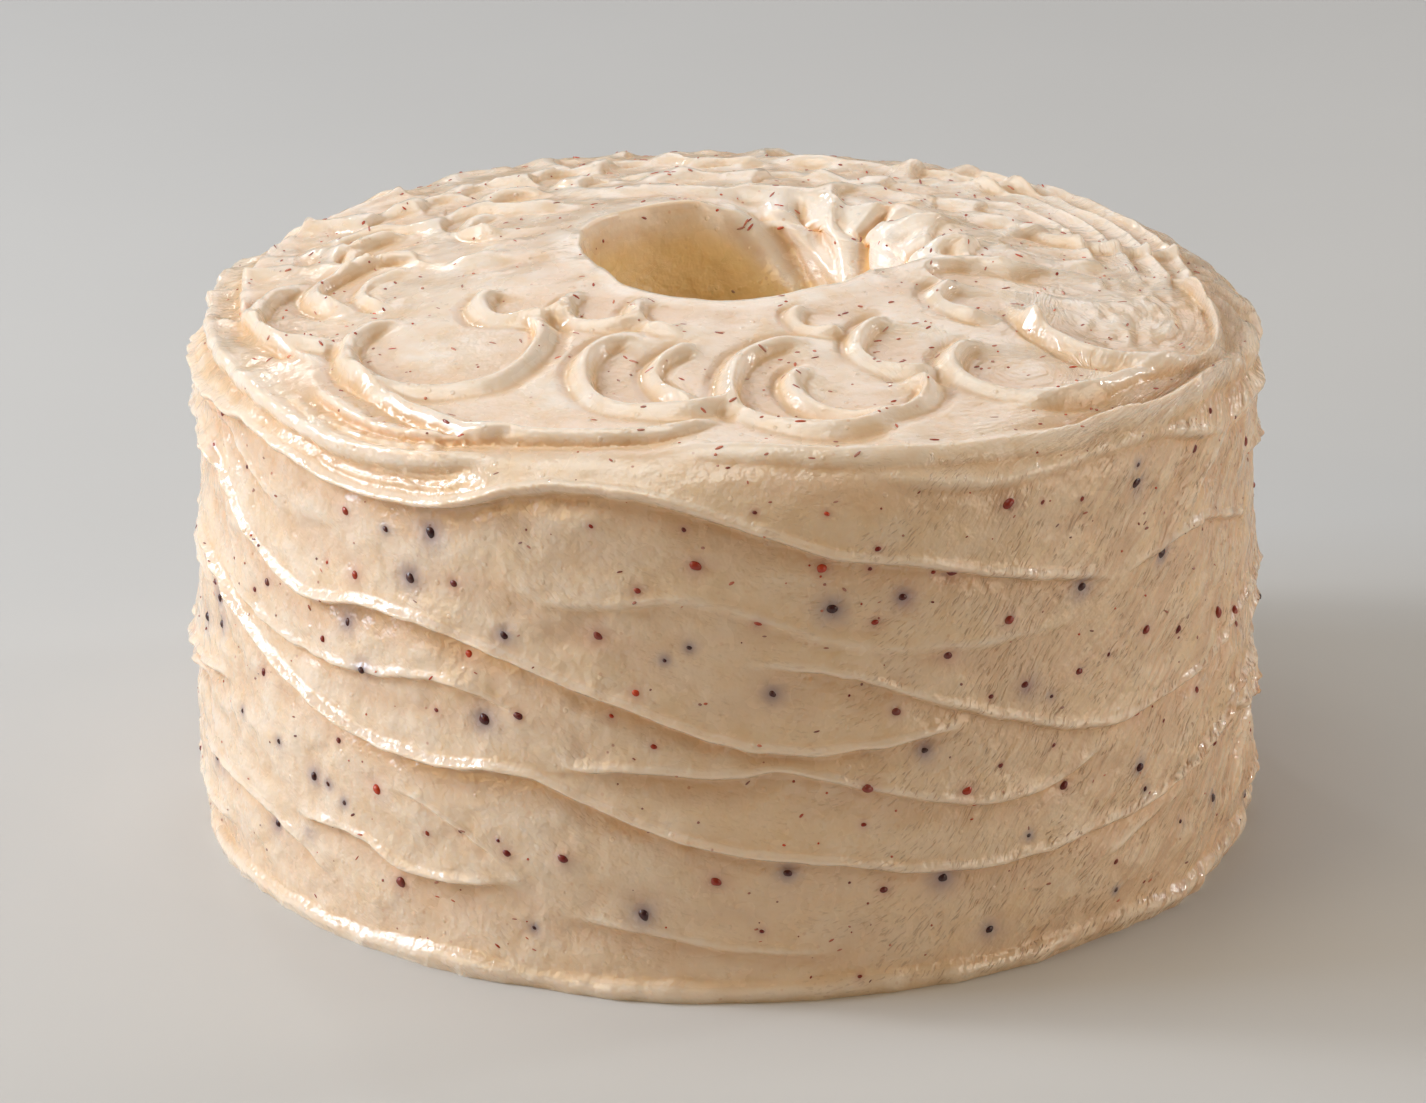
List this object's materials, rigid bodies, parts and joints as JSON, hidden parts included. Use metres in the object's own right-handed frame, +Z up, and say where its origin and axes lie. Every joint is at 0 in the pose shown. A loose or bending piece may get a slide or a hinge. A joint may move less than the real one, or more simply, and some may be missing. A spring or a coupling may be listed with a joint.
{
  "type": "lemon pound cake",
  "caption": "Whole tall ring cake with a hole through its middle, coated all over in cream frosting with spatula swirls on top and long wavy pulls round the side.",
  "frame": {"origin": "middle of the flat underside, on the surface the cake stands on", "axes": "+Z up along the axis of the ring, -Y towards the side that the picture shows, +X to its right"},
  "size_m": [0.2372, 0.2378, 0.1277],
  "materials": {
    "frosting": "soft cream frosting, slightly translucent, moist satin with small bright glints on the ridges",
    "fruit_bits": "small glossy red, maroon and dark blue beads and flecks of fruit set in the frosting"
  },
  "bodies": {
    "root": {"frosted_cake": "frosting"}
  },
  "joints": []
}
